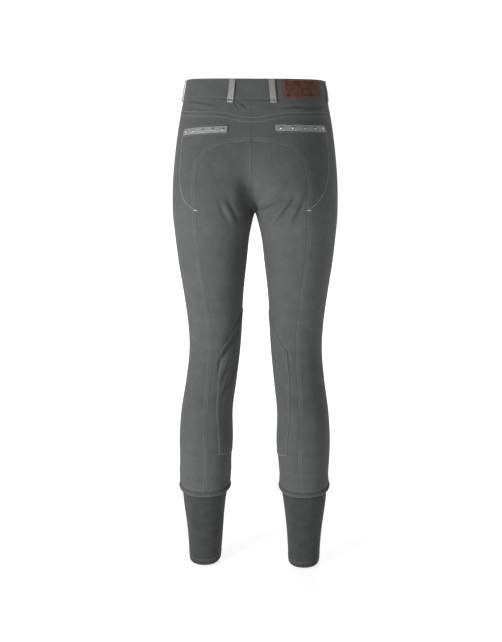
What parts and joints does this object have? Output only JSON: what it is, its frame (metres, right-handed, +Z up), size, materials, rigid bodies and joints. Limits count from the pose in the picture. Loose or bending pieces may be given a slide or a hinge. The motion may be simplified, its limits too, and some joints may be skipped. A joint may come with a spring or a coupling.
{
  "type": "riding breeches",
  "caption": "Close-fitting riding breeches with a full seat, studded back pocket welts, knee patches, a rolled hem seam and stretch calf cuffs.",
  "frame": {"origin": "centre of the waistband opening, half way up the band at the centre back; the garment hangs below it", "axes": "+Z up out of the waist, +Y the way the wearer faces, +X the wearer's right; the back of the garment faces -Y"},
  "size_m": [0.3172, 0.233, 0.9772],
  "materials": {
    "breech_cloth": "matt two-way stretch twill, mid grey",
    "cuff_jersey": "thin matt stretch jersey, darker grey",
    "silver_canvas": "pale silver grey canvas with a slight glitter",
    "brown_leather": "smooth brown leather, slightly waxy",
    "stone": "clear cut stone over foil",
    "button_metal": "dark nickel"
  },
  "bodies": {
    "root": {"waistband_back": "breech_cloth", "waistband_front_left": "breech_cloth", "waistband_front_right": "breech_cloth", "yoke_left": "breech_cloth", "yoke_right": "breech_cloth", "back_leg_left": "breech_cloth", "back_leg_right": "breech_cloth", "seat_left": "breech_cloth", "seat_right": "breech_cloth", "front_leg_left": "breech_cloth", "front_leg_right": "breech_cloth", "fly_flap": "breech_cloth", "knee_patch_left": "breech_cloth", "knee_patch_right": "breech_cloth", "hem_roll_left": "breech_cloth", "hem_roll_right": "breech_cloth", "cuff_left": "cuff_jersey", "cuff_right": "cuff_jersey", "belt_loop_back_left": "silver_canvas", "belt_loop_back_right": "silver_canvas", "belt_loop_side_left": "silver_canvas", "belt_loop_side_right": "silver_canvas", "belt_loop_front_left": "silver_canvas", "belt_loop_front_right": "silver_canvas", "pocket_welt_left": "silver_canvas", "pocket_welt_right": "silver_canvas", "leather_patch": "brown_leather", "waist_button": "button_metal", "stud_left_1": "stone", "stud_left_2": "stone", "stud_left_3": "stone", "stud_left_4": "stone", "stud_left_5": "stone", "stud_right_1": "stone", "stud_right_2": "stone", "stud_right_3": "stone", "stud_right_4": "stone", "stud_right_5": "stone"}
  },
  "joints": []
}
